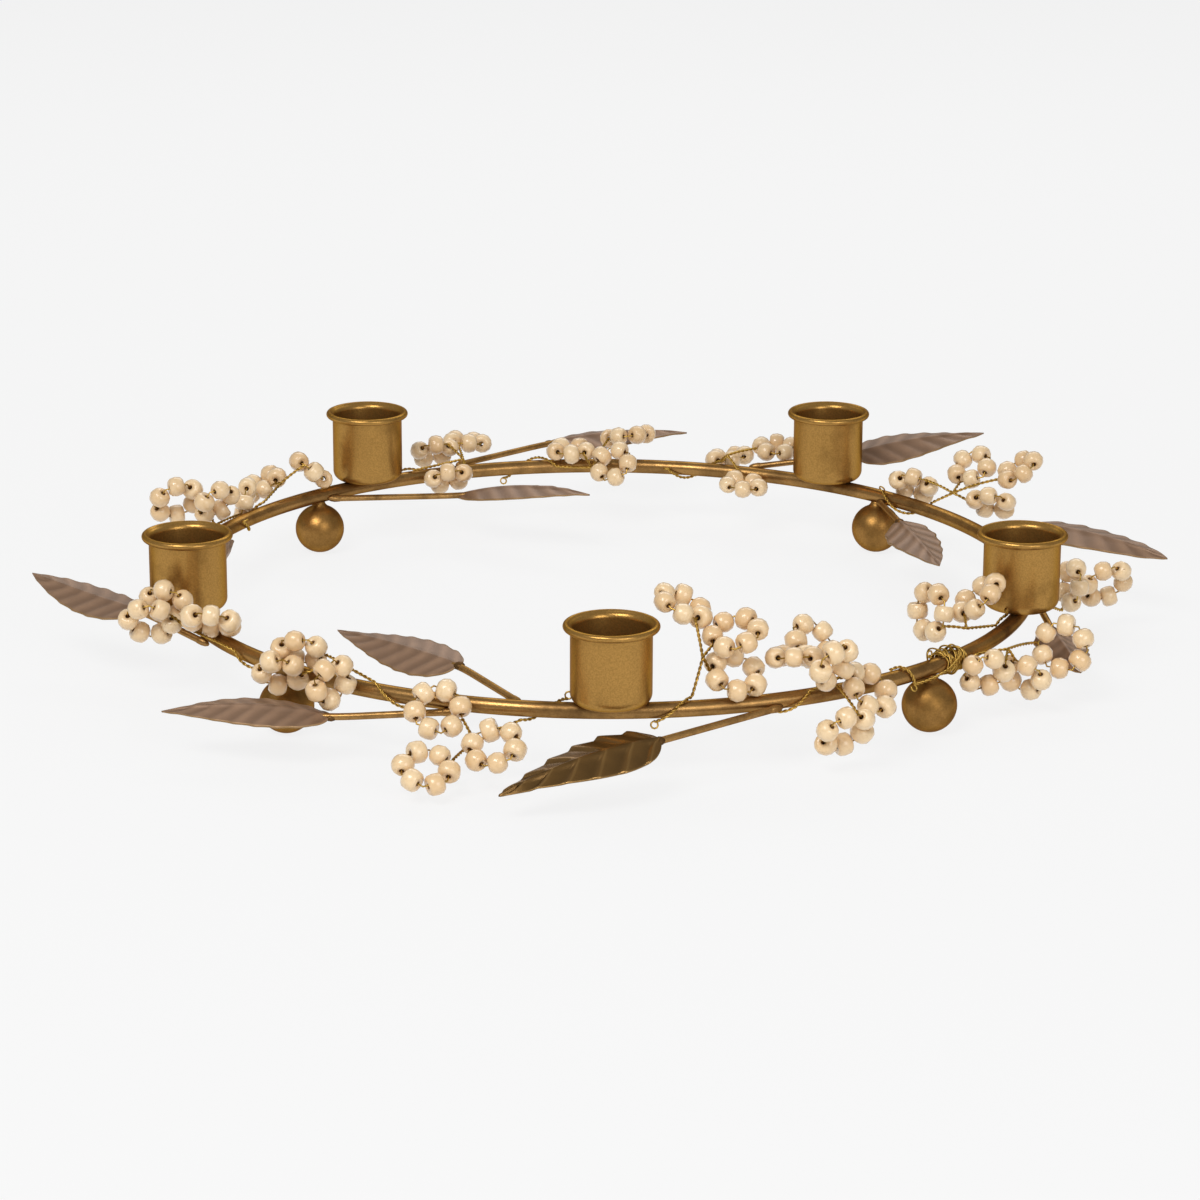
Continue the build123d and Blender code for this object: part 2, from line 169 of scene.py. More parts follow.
# Leaf pressing: how far a vein slants back from the midrib to the rim, as a share of the blade,
# the level that the pressed panels swing about, and the midrib's height and the rim's sway in millimetres
VEIN_SLANT = 0.13
PANEL_LEVEL = 0.6
MIDRIB_HEIGHT = 0.3
RIM_SWAY = 0.6

# Welds: radii in millimetres along the stem or blade, across it and out of it
ROOT_WELD = (3.2, 1.3, 1.3)
BASE_WELD = (2.0, 1.7, 1.15)

# Lashings: length along the rod and distance off it in millimetres, degrees round the rod for each
# degree of station, and the degrees of station that stay free beside a cup
LASHING_RUN = 20
LASHING_OFF = 0.95
LASHING_TURN = 34
LASHING_STEPS = 18
CUP_KEEP = 5.2

# Eyes that end the wires: radius and distance of the middle off the wire, in millimetres
EYE_RADIUS = 1.1
EYE_OFF = 1.0

# Stalks: distance between the middles of a twisted pair's strands, as a share of one strand's
# thickness, and the rise of a stalk's middle, as a share of its length
PAIR_SPREAD = 0.95
STALK_RISE = 0.06

# Tie: each winding's first station, its spread in degrees, its turns and its slack in millimetres,
# the points of a turn, the jitter of their stations in degrees, how far a winding swings to and fro
# along the rod, and the points of the tails and the eye as station, lean and millimetres off the rod
TIE_WINDINGS = ((318.0, 4.2, 9, 2.0), (318.6, 3.2, 6, 3.8), (319.0, 2.2, 3, 5.4))
TURN_POINTS = 8
TIE_JITTER = 0.3
TIE_SWING = 2.6 * math.pi
TIE_LEAD = ((320, 30, 2.2), (318, 0, 2.0), (315.5, -25, 1.6), (313.4, -42, 1.3), (312, -50, 1.0))
TIE_HOOK = ((312, -50, 1.0), (311.4, 0, 1.2), (310.8, 60, 1.0), (310.2, 110, 1.0), (309.6, 150, 0.9))
TIE_EYE = (312, -60, 0.8)

# Painted shade: the tint of metal seen edge on, so that round metal darkens towards its sides
PAINTED_EDGE_SHADE = (0.45, 0.32, 0.16)

# Fineness of the finishes, in grains a metre
FLAKE_GRAINS = 1900.0
PAINT_GRAINS = 1400.0
LEAF_CLOUDS = 160.0
LEAF_GRAINS = 1500.0
WOOD_GRAINS = 700.0
SPECK_GRAINS = 1500.0
LACQUER_WAVES = 420.0
FIBRE_GRAINS = 1800.0
TARNISH_CLOUDS = 130.0

# Lamps: place in metres, size in metres and watts, all aimed at the ring's middle
LAMPS = {
    "key": ((-0.5, -0.85, 1.1), (0.7, 0.5), 10.5),
    "fill": ((0.6, -1.1, 0.5), (0.6, 0.6), 4.5),
    "back": ((0.1, 1.0, 0.9), (1.2, 0.4), 4.0),
}
SKY_STRENGTH = 0.36

# Floor: metres from its middle to its sides, and the share of its own light in what the camera sees
FLOOR_REACH = 6
FLOOR_GLOW = 0.9

# Camera: place and aim in metres, lens and sensor in millimetres, roll in degrees
CAMERA_PLACE = (-0.00099, -1.2501, 0.3948)
CAMERA_AIM = (-0.00099, 0, 0.01205)
CAMERA_LENS = 118.24
CAMERA_SENSOR = 36
CAMERA_ROLL = 0.245


class RingSizes(bpy.types.PropertyGroup):
    """Sizes of the metalwork, the beads and the wires."""

    ring_radius: FloatProperty(
        name="Ring radius", description="From the ring's middle to the middle of the rod",
        default=0.140, unit="LENGTH")
    rod_diameter: FloatProperty(
        name="Rod", description="Thickness of the ring's rod", default=0.005, unit="LENGTH")
    cup_diameter: FloatProperty(
        name="Cup", description="Outside of a candle cup", default=0.0246, unit="LENGTH")
    cup_height: FloatProperty(
        name="Cup height", description="From the rod to the top of the rim", default=0.025, unit="LENGTH")
    cup_wall: FloatProperty(
        name="Cup wall", description="Thickness of the cups' sheet", default=0.0008, unit="LENGTH")
    rim_diameter: FloatProperty(
        name="Rim", description="Outside of the rolled rim", default=0.029, unit="LENGTH")
    rim_roll: FloatProperty(
        name="Rim roll", description="Thickness of the rolled edge", default=0.0022, unit="LENGTH")
    cup_corner: FloatProperty(
        name="Cup corner", description="Rounding of a cup's bottom edge", default=0.0034, unit="LENGTH")
    rim_flare: FloatProperty(
        name="Rim flare", description="Rounding from the bore into the rim", default=0.0019, unit="LENGTH")
    foot_diameter: FloatProperty(
        name="Ball foot", description="Across a ball foot", default=0.0172, unit="LENGTH")
    neck_radius: FloatProperty(
        name="Foot neck", description="Radius of a foot's short neck", default=0.002, unit="LENGTH")
    leaf_width: FloatProperty(
        name="Leaf width", description="Across the widest part of a leaf", default=0.017, unit="LENGTH")
    leaf_arch: FloatProperty(
        name="Leaf arch", description="Rise of a full bow from base to tip", default=0.003, unit="LENGTH")
    leaf_fold: FloatProperty(
        name="Leaf fold", description="Fall of each half from the midrib",
        default=math.radians(16), subtype="ANGLE")
    leaf_sheet: FloatProperty(
        name="Leaf sheet", description="Thickness of a leaf's sheet", default=0.0005, unit="LENGTH")
    stem_diameter: FloatProperty(
        name="Leaf stem", description="Thickness of a leaf's stem", default=0.0022, unit="LENGTH")
    bead_diameter: FloatProperty(
        name="Bead", description="Across a wooden bead", default=0.0072, unit="LENGTH")
    bead_length: FloatProperty(
        name="Bead length", description="Along a bead's hole", default=0.0056, unit="LENGTH")
    bead_end: FloatProperty(
        name="Bead end", description="Across the flat end of a bead", default=0.0036, unit="LENGTH")
    bead_gap: FloatProperty(
        name="Bead gap", description="From a bead's end to halfway to its neighbour",
        default=0.00012, unit="LENGTH")
    hole_radius: FloatProperty(
        name="Bead hole", description="Radius of a bead's hole", default=0.00085, unit="LENGTH")
    strand: FloatProperty(
        name="Strand", description="Thickness of one brass strand", default=0.00055, unit="LENGTH")
    twist_pitch: FloatProperty(
        name="Twist", description="Length of one turn of a twisted pair", default=0.0032, unit="LENGTH")


class RingColours(bpy.types.PropertyGroup):
    """Colours of the finishes and the stage."""

    gold: FloatVectorProperty(
        name="Gold paint", description="Satin antique gold of the cups",
        default=(0.41, 0.226, 0.061), subtype="COLOR", min=0, max=1)
    gold_shade: FloatVectorProperty(
        name="Gold shade", description="Darker bronze patches in the gold paint",
        default=(0.17, 0.088, 0.022), subtype="COLOR", min=0, max=1)
    foot: FloatVectorProperty(
        name="Foot paint", description="Darker antique gold of the ball feet",
        default=(0.34, 0.178, 0.050), subtype="COLOR", min=0, max=1)
    rod: FloatVectorProperty(
        name="Rod paint", description="Browner gold of the rod and the stems",
        default=(0.36, 0.200, 0.068), subtype="COLOR", min=0, max=1)
    rod_shade: FloatVectorProperty(
        name="Rod shade", description="Worn brown patches on the rod",
        default=(0.125, 0.065, 0.023), subtype="COLOR", min=0, max=1)
    # Partly the leaves' paint and partly painted reflection: this taupe holds the pale surroundings that
    # the upward leaves reflect
    leaf: FloatVectorProperty(
        name="Leaf paint", description="Taupe of most leaves",
        default=(0.285, 0.172, 0.105), subtype="COLOR", min=0, max=1)
    # Painted shade: the darker taupe painted into the vein grooves, where shade falls
    leaf_painted_groove_shade: FloatVectorProperty(
        name="Leaf shade", description="Darker taupe along the veins",
        default=(0.175, 0.101, 0.057), subtype="COLOR", min=0, max=1)
    # Gold of the rim where the paint is rubbed off, which also serves as the painted highlight on the vein
    # crests
    leaf_rim_gold_and_crest_highlight: FloatVectorProperty(
        name="Leaf edge", description="Gold that shows where the paint is rubbed off",
        default=(0.36, 0.21, 0.07), subtype="COLOR", min=0, max=1)
    bronze: FloatVectorProperty(
        name="Bronze leaf", description="Dark bronze of the front leaf",
        default=(0.185, 0.098, 0.027), subtype="COLOR", min=0, max=1)
    bead: FloatVectorProperty(
        name="Bead wood", description="Pale lacquered wood",
        default=(0.86, 0.645, 0.385), subtype="COLOR", min=0, max=1)
    bead_warm: FloatVectorProperty(
        name="Warm bead", description="Warmer beads among the pale ones",
        default=(0.77, 0.520, 0.270), subtype="COLOR", min=0, max=1)
    bead_hole: FloatVectorProperty(
        name="Bead hole", description="Drilled wood inside a bead",
        default=(0.13, 0.058, 0.018), subtype="COLOR", min=0, max=1)
    bead_speck: FloatVectorProperty(
        name="Bead speck", description="Small dark specks in the wood",
        default=(0.33, 0.17, 0.06), subtype="COLOR", min=0, max=1)
    brass: FloatVectorProperty(
        name="Brass wire", description="Bare brass of the craft wire",
        default=(0.56, 0.350, 0.085), subtype="COLOR", min=0, max=1)
    floor: FloatVectorProperty(
        name="Floor", description="Plain pale floor",
        default=(0.93, 0.93, 0.93), subtype="COLOR", min=0, max=1)


def sizes():
    return bpy.context.scene.candle_ring_sizes


def colours():
    return bpy.context.scene.candle_ring_colours


# Places

def rod_height():
    low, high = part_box("ring_rod")
    return (low[2] + high[2]) / 2


def rod_axes(station):
    """Middle of the rod at a station, and the ways outwards, along the ring and up."""
    turn = math.radians(station)
    outwards = Vector((math.cos(turn), math.sin(turn), 0))
    along = Vector((-math.sin(turn), math.cos(turn), 0))
    middle = outwards * sizes().ring_radius + Vector((0, 0, rod_height()))
    return middle, outwards, along, Vector((0, 0, 1))


def off_rod(station, lean, distance):
    """Point at a distance from the rod's middle, leaning from outwards (0) to up (90)."""
    middle, outwards, _, up = rod_axes(station)
    turn = math.radians(lean)
    return middle + (outwards * math.cos(turn) + up * math.sin(turn)) * distance


def beside_ring(place):
    """Point at a place given as (station, out, up) in millimetres."""
    station, out, rise = place
    middle, outwards, _, up = rod_axes(station)
    return middle + (outwards * out + up * rise) * MM


def sprig_place(root, along, lean, reach):
    """Station and point of a place that a sprig gives in bead diameters."""
    bead = sizes().bead_diameter
    station = root + math.degrees(along * bead / sizes().ring_radius)
    return station, off_rod(station, lean, sizes().rod_diameter / 2 + reach * bead)


def loop_radius(beads):
    """Radius of the bead centres when neighbours just clear each other's ends."""
    half = math.pi / beads
    return sizes().bead_end / 2 + (sizes().bead_length / 2 + sizes().bead_gap) / math.tan(half)


def loop_axes(root, loop):
    """Centre of a bead loop, its two level ways and the way that it faces."""
    station, centre = sprig_place(root, loop.along, loop.lean, loop.reach)
    _, outwards, along, up = rod_axes(station)
    turn = math.radians(loop.turn)
    tilt = math.radians(loop.tilt)
    level = outwards * math.cos(turn) + along * math.sin(turn)
    side = along * math.cos(turn) - outwards * math.sin(turn)
    facing = level * math.cos(tilt) + up * math.sin(tilt)
    return centre, side, facing.cross(side), facing


def loop_bends(root, loop):
    """Points where a loop's strand bends between its beads."""
    centre, side, across, _ = loop_axes(root, loop)
    half = math.pi / loop.beads
    reach = loop_radius(loop.beads) / math.cos(half)
    turns = [math.radians(loop.phase) + (2 * i + 1) * half for i in range(loop.beads)]
    return [centre + (side * math.cos(t) + across * math.sin(t)) * reach for t in turns]


# Mesh helpers

def settle(bm, name, materials, nodes=()):
    """Smooth mesh object at the origin that rides with the ring."""
    mesh = bpy.data.meshes.new(name)
    for face in bm.faces:
        face.smooth = True
    bm.to_mesh(mesh)
    bm.free()
    for material in materials:
        mesh.materials.append(material)
    piece = bpy.data.objects.new(name, mesh)
    bpy.context.collection.objects.link(piece)
    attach(piece, "root")
    if nodes:
        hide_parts(*nodes)
    return piece


def round_edge(centre, radius, start, stop, steps):
    """Points on a round stretch of a profile, from one angle in degrees to another."""
    turns = [math.radians(start + (stop - start) * i / steps) for i in range(steps + 1)]
    return [(centre[0] + radius * math.cos(t), centre[1] + radius * math.sin(t)) for t in turns]


def turned(profile, steps):
    """Mesh spun about Z from a line of (radius, height) points."""
    bm = bmesh.new()
    verts = [bm.verts.new((radius, 0, height)) for radius, height in profile]
    edges = [bm.edges.new(pair) for pair in zip(verts, verts[1:])]
    bmesh.ops.spin(
        bm, geom=verts + edges, cent=(0, 0, 0), axis=(0, 0, 1), dvec=(0, 0, 0),
        angle=2 * math.pi, steps=steps, use_merge=True, use_duplicate=False)
    bmesh.ops.remove_doubles(bm, verts=bm.verts, dist=1e-6)
    bmesh.ops.recalc_face_normals(bm, faces=bm.faces)
    mesh = bpy.data.meshes.new("turned")
    bm.to_mesh(mesh)
    bm.free()
    return mesh


def place_copy(bm, mesh, matrix):
    """Adds a copy of a mesh under a matrix, and returns its faces."""
    first_vert = len(bm.verts)
    first_face = len(bm.faces)
    bm.from_mesh(mesh)
    bm.verts.ensure_lookup_table()
    bm.faces.ensure_lookup_table()
    bmesh.ops.transform(bm, matrix=matrix, verts=bm.verts[first_vert:])
    return bm.faces[first_face:]


def seated(origin, x_way, y_way, z_way):
    """Matrix that puts a piece's axes along three ways at a point."""
    turn = Matrix((x_way, y_way, z_way)).transposed().to_4x4()
    return Matrix.Translation(origin) @ turn


def curve_mesh(routes, radius, kind="NURBS", cyclic=False, sides=2):
    """Mesh of round wires along routes of points."""
    curve = bpy.data.curves.new("wire", "CURVE")
    curve.dimensions = "3D"
    curve.bevel_depth = radius
    curve.bevel_resolution = sides
    curve.resolution_u = 6
    curve.use_fill_caps = radius > 0
    for route in routes:
        spline = curve.splines.new(kind)
        spline.points.add(len(route) - 1)
        for point, place in zip(spline.points, route):
            point.co = (*place, 1)
        spline.use_cyclic_u = cyclic
        if kind == "NURBS":
            spline.order_u = 3
            spline.use_endpoint_u = not cyclic
    holder = bpy.data.objects.new("wire", curve)
    bpy.context.collection.objects.link(holder)
    depsgraph = bpy.context.evaluated_depsgraph_get()
    mesh = bpy.data.meshes.new_from_object(holder.evaluated_get(depsgraph))
    bpy.data.objects.remove(holder)
    bpy.data.curves.remove(curve)
    return mesh


def smooth_route(points):
    """Points along the smooth line that a route's points pull."""
    mesh = curve_mesh([points], 0)
    route = [vert.co.copy() for vert in mesh.vertices]
    bpy.data.meshes.remove(mesh)
    return route


def spaced(route, step):
    """A route cut into even steps."""
    result = [route[0]]
    carry = 0.0
    for here, there in zip(route, route[1:]):
        length = (there - here).length
        while length > 0 and carry + length >= step:
            here = here.lerp(there, (step - carry) / length)
            length = (there - here).length
            carry = 0.0
            result.append(here)
        carry += length
    return result + [route[-1]]


def twisted_pair(points, spread, pitch):
    """The routes of two strands twisted round each other along a line of points."""
    route = spaced(smooth_route(points), pitch / 8)
    side = (route[1] - route[0]).orthogonal().normalized()
    turn = 0.0
    strands = ([], [])
    for here, there in zip(route, route[1:]):
        way = there - here
        if way.length < 1e-7:
            continue
        turn += 2 * math.pi * way.length / pitch
        way.normalize()
        side = (side - way * side.dot(way)).normalized()
        offset = Matrix.Rotation(turn, 3, way) @ side * spread
        strands[0].append(here + offset)
        strands[1].append(here - offset)
    return list(strands)


# Finishes

def node_material(name):
    """Material with its shader, a texture space and a place for nodes."""
    material = bpy.data.materials.new(name)
    material.use_nodes = True
    nodes = material.node_tree.nodes
    links = material.node_tree.links
    shader = nodes["Principled BSDF"]
    coords = nodes.new("ShaderNodeTexCoord")
    return material, nodes, links, shader, coords.outputs["Object"]


def noise_at(nodes, links, where, scale, detail, roughness=0.55):
    """Noise value on the object at so many grains a metre."""
    texture = nodes.new("ShaderNodeTexNoise")
    texture.inputs["Scale"].default_value = scale
    texture.inputs["Detail"].default_value = detail
    texture.inputs["Roughness"].default_value = roughness
    links.new(where, texture.inputs["Vector"])
    return texture.outputs["Fac"]


def ramp(nodes, links, value, low, high, top=1.0):
    """A value stretched so that low becomes 0 and high becomes the top."""
    spread = nodes.new("ShaderNodeMapRange")
    spread.inputs["To Max"].default_value = top
    spread.inputs["From Min"].default_value = low
    spread.inputs["From Max"].default_value = high
    links.new(value, spread.inputs["Value"])
    return spread.outputs["Result"]


def blend_colour(nodes, links, share, first, second):
    """Colour between two, each a plain colour or another node's colour."""
    mix = nodes.new("ShaderNodeMix")
    mix.data_type = "RGBA"
    for socket, colour in ((mix.inputs[6], first), (mix.inputs[7], second)):
        if isinstance(colour, bpy.types.NodeSocket):
            links.new(colour, socket)
        else:
            socket.default_value = (*colour, 1)
    links.new(share, mix.inputs[0])
    return mix.outputs[2]


def roughen(nodes, links, shader, value, depth, strength):
    """Bump on the shader from a height value."""
    bump = nodes.new("ShaderNodeBump")
    bump.inputs["Distance"].default_value = depth
    bump.inputs["Strength"].default_value = strength
    links.new(value, bump.inputs["Height"])
    links.new(bump.outputs["Normal"], shader.inputs["Normal"])


def metallic_paint(name, colour, shade, metallic, gloss, patch_scale, wear):
    """Satin paint with metal flake, and patches that are worn or rubbed darker."""
    material, nodes, links, shader, where = node_material(name)
    cloud = noise_at(nodes, links, where, patch_scale, 5.0, 0.6)
    patches = ramp(nodes, links, cloud, wear, wear + 0.3)
    flake = ramp(nodes, links, noise_at(nodes, links, where, FLAKE_GRAINS, 2.0), 0.36, 0.64)
    dull = tuple(c * 0.9 for c in colour)
    bright = tuple(min(1.0, c * 1.16) for c in colour)
    flaked = blend_colour(nodes, links, flake, dull, bright)
    links.new(blend_colour(nodes, links, patches, flaked, shade), shader.inputs["Base Color"])
    rough = nodes.new("ShaderNodeMapRange")
    rough.inputs["To Min"].default_value = gloss - 0.06
    rough.inputs["To Max"].default_value = gloss + 0.12
    links.new(patches, rough.inputs["Value"])
    links.new(rough.outputs["Result"], shader.inputs["Roughness"])
    shader.inputs["Metallic"].default_value = metallic
    # Painted shade towards the sides of round metal, from its tint seen edge on
    shader.inputs["Specular Tint"].default_value = (*PAINTED_EDGE_SHADE, 1)
    grain = noise_at(nodes, links, where, PAINT_GRAINS, 2.0)
    roughen(nodes, links, shader, grain, 0.06 * MM, 0.6)
    return material


def leaf_finish(name, colour, shade, edge, metallic, gloss, rubbed):
    """Leaf paint with painted shade in the vein grooves and a painted gold highlight on the crests, and
    rubbed to gold at the rim.
    """
    material, nodes, links, shader, where = node_material(name)
    vein = nodes.new("ShaderNodeAttribute")
    vein.attribute_name = "vein"
    rim = nodes.new("ShaderNodeAttribute")
    rim.attribute_name = "rim"
    cloudy = ramp(nodes, links, noise_at(nodes, links, where, LEAF_CLOUDS, 4.0), 0.35, 0.7)
    light = tuple(min(1.0, c * 1.25) for c in colour)
    ground = blend_colour(nodes, links, cloudy, colour, light)
    # Painted shade: the colour turns to the shade colour in the vein grooves, where the pressed surface
    # lies low
    with_painted_groove_shade = blend_colour(nodes, links, vein.outputs["Fac"], shade, ground)
    # Painted highlight: the vein crests are lightened towards the rim gold, by as much as rubbed gives
    crest = ramp(nodes, links, vein.outputs["Fac"], 0.88, 1.0, rubbed)
    with_painted_crest_highlight = blend_colour(nodes, links, crest, with_painted_groove_shade, edge)
    links.new(blend_colour(nodes, links, rim.outputs["Fac"], with_painted_crest_highlight, edge), shader.inputs["Base Color"])
    shader.inputs["Metallic"].default_value = metallic
    shader.inputs["Roughness"].default_value = gloss
    roughen(nodes, links, shader, noise_at(nodes, links, where, LEAF_GRAINS, 2.0), 0.05 * MM, 0.6)
    return material


def lacquered_wood():
    """Pale bead wood: a tone for each bead, soft grain, small specks and a clear lacquer."""
    material, nodes, links, shader, where = node_material("lacquered_wood")
    tone = nodes.new("ShaderNodeAttribute")
    tone.attribute_name = "tone"
    ground = blend_colour(nodes, links, tone.outputs["Fac"], colours().bead, colours().bead_warm)
    grain = ramp(nodes, links, noise_at(nodes, links, where, WOOD_GRAINS, 4.0, 0.7), 0.5, 0.85)
    grain_colour = tuple(c * k for c, k in zip(colours().bead, (0.82, 0.74, 0.62)))
    grained = blend_colour(nodes, links, grain, ground, grain_colour)
    specks = ramp(nodes, links, noise_at(nodes, links, where, SPECK_GRAINS, 1.0), 0.76, 0.82)
    links.new(
        blend_colour(nodes, links, specks, grained, colours().bead_speck), shader.inputs["Base Color"])
    shader.inputs["Roughness"].default_value = 0.42
    shader.inputs["Coat Weight"].default_value = 0.8
    shader.inputs["Coat Roughness"].default_value = 0.09
    roughen(nodes, links, shader, noise_at(nodes, links, where, LACQUER_WAVES, 3.0), 0.12 * MM, 0.5)
    return material


def drilled_wood():
    """Raw dark wood inside a bead's hole."""
    material, nodes, links, shader, where = node_material("drilled_wood")
    fibres = ramp(nodes, links, noise_at(nodes, links, where, FIBRE_GRAINS, 3.0), 0.35, 0.75)
    light = tuple(c * 2.2 for c in colours().bead_hole)
    links.new(
        blend_colour(nodes, links, fibres, colours().bead_hole, light), shader.inputs["Base Color"])
    shader.inputs["Roughness"].default_value = 0.85
    return material


def bare_brass():
    """Drawn brass wire, tarnished here and there."""
    material, nodes, links, shader, where = node_material("bare_brass")
    tarnish = ramp(nodes, links, noise_at(nodes, links, where, TARNISH_CLOUDS, 3.0), 0.45, 0.72)
    dull = tuple(c * k for c, k in zip(colours().brass, (0.42, 0.36, 0.30)))
    links.new(
        blend_colour(nodes, links, tarnish, colours().brass, dull), shader.inputs["Base Color"])
    shader.inputs["Metallic"].default_value = 1.0
    # Painted shade towards the sides of the wire, from its tint seen edge on
    shader.inputs["Specular Tint"].default_value = (*PAINTED_EDGE_SHADE, 1)
    shader.inputs["Roughness"].default_value = 0.36
    return material


# Pieces

class MakeRod(bpy.types.Operator):
    """Round rod closed to a ring, with the paint patchy where it was bent and welded"""

    bl_idname = "candle_ring.make_rod"
    bl_label = "Ring rod"

    def execute(self, context):
        bm = bmesh.new()
        place = Matrix.Translation((sizes().ring_radius, 0, rod_height()))
        upright = Matrix.Rotation(math.pi / 2, 4, "X")
        section = bmesh.ops.create_circle(
            bm, segments=24, radius=sizes().rod_diameter / 2, matrix=place @ upright)["verts"]
        edges = list({edge for vert in section for edge in vert.link_edges})
        bmesh.ops.spin(
            bm, geom=section + edges, cent=(0, 0, 0), axis=(0, 0, 1), dvec=(0, 0, 0),
            angle=2 * math.pi, steps=300, use_merge=True, use_duplicate=False)
        bmesh.ops.remove_doubles(bm, verts=bm.verts, dist=1e-6)
        bmesh.ops.recalc_face_normals(bm, faces=bm.faces)
        paint = metallic_paint(
            "satin_rod", colours().rod, colours().rod_shade,
            metallic=0.88, gloss=0.36, patch_scale=70.0, wear=0.42)
        settle(bm, "rod", [paint], ["ring_rod"])
        return {"FINISHED"}


class MakeCups(bpy.types.Operator):
    """Spun cups with a rounded bottom, a straight wall and the rim rolled outwards"""

    bl_idname = "candle_ring.make_cups"
    bl_label = "Candle cups"

    def execute(self, context):
        outer = sizes().cup_diameter / 2
        wall = sizes().cup_wall
        inner = outer - wall
        height = sizes().cup_height
        roll = sizes().rim_roll / 2
        corner = sizes().cup_corner
        flare = sizes().rim_flare
        roll_centre = (sizes().rim_diameter / 2 - roll, height - roll)
        profile = [(0, 0)]
        profile += round_edge((outer - corner, corner), corner, -90, 0, 8)
        profile += [(outer, height * 0.5), (outer, height - 2.6 * roll)]
        profile += round_edge(roll_centre, roll, -155, 110, 14)
        profile += round_edge((inner + flare, height - roll * 0.35 - flare), flare, 110, 180, 5)
        profile += [(inner, height * 0.5)]
        profile += round_edge((inner - corner + wall, corner), corner - wall, 0, -90, 6)
        profile += [(0, wall)]
        cup = turned(profile, steps=72)
        bm = bmesh.new()
        for station in CUP_STATIONS:
            middle, outwards, along, up = rod_axes(station)
            foot = middle + up * sizes().rod_diameter / 2
            place_copy(bm, cup, seated(foot, outwards, along, up))
        paint = metallic_paint(
            "satin_gold", colours().gold, colours().gold_shade,
            metallic=0.85, gloss=0.37, patch_scale=55.0, wear=0.55)
        settle(bm, "cups", [paint], ["candle_cups"])
        return {"FINISHED"}


class MakeFeet(bpy.types.Operator):
    """Ball feet on short drawn necks under the rod"""

    bl_idname = "candle_ring.make_feet"
    bl_label = "Ball feet"

    def execute(self, context):
        radius = sizes().foot_diameter / 2
        top = rod_height() - sizes().rod_diameter / 2
        neck = sizes().neck_radius
        weld = top + 0.6 * MM
        profile = [(0, 0)]
        profile += round_edge((0, radius), radius, -84, 70, 24)
        profile += [(neck * 1.15, top - 0.55 * MM), (neck, top), (neck, weld), (0, weld)]
        foot = turned(profile, steps=48)
        bm = bmesh.new()
        for station in FOOT_STATIONS:
            middle, outwards, along, up = rod_axes(station)
            ground = Vector((middle.x, middle.y, 0))
            place_copy(bm, foot, seated(ground, outwards, along, up))
        paint = metallic_paint(
            "satin_foot", colours().foot, colours().gold_shade,
            metallic=0.85, gloss=0.41, patch_scale=90.0, wear=0.44)
        settle(bm, "feet", [paint], ["ball_feet"])
        return {"FINISHED"}


def blade_axes(leaf):
    """Base of a blade, the ways along it, across it and out of its upper face, and its length."""
    base = beside_ring(leaf.base)
    along = beside_ring(leaf.tip) - base
    length = along.length
    along.normalize()
    level = Vector((0, 0, 1)).cross(along).normalized()
    roll = -leaf.roll if level.y < 0 else leaf.roll
    upper = Matrix.Rotation(math.radians(roll), 3, along) @ along.cross(level)
    return base, along, upper.cross(along), upper, length


def blade_width(share):
    """Half width of a leaf at a share of its length, of its widest half width."""
    return max(0.0, math.sin(math.pi * share ** 0.608)) ** 0.8


def bow(leaf, share):
    return 4 * sizes().leaf_arch * leaf.bow * share * (1 - share)


def vein_step(phase, crisp):
    """Height of the pressed panel between two veins, from a soft swell to a crisp step."""
    part = phase % 1
    swell = 0.5 - 0.5 * math.cos(2 * math.pi * part ** 1.5)
    step = (part / 0.82) ** 1.4 if part < 0.82 else (1 - part) / 0.18
    return swell + (step - swell) * crisp


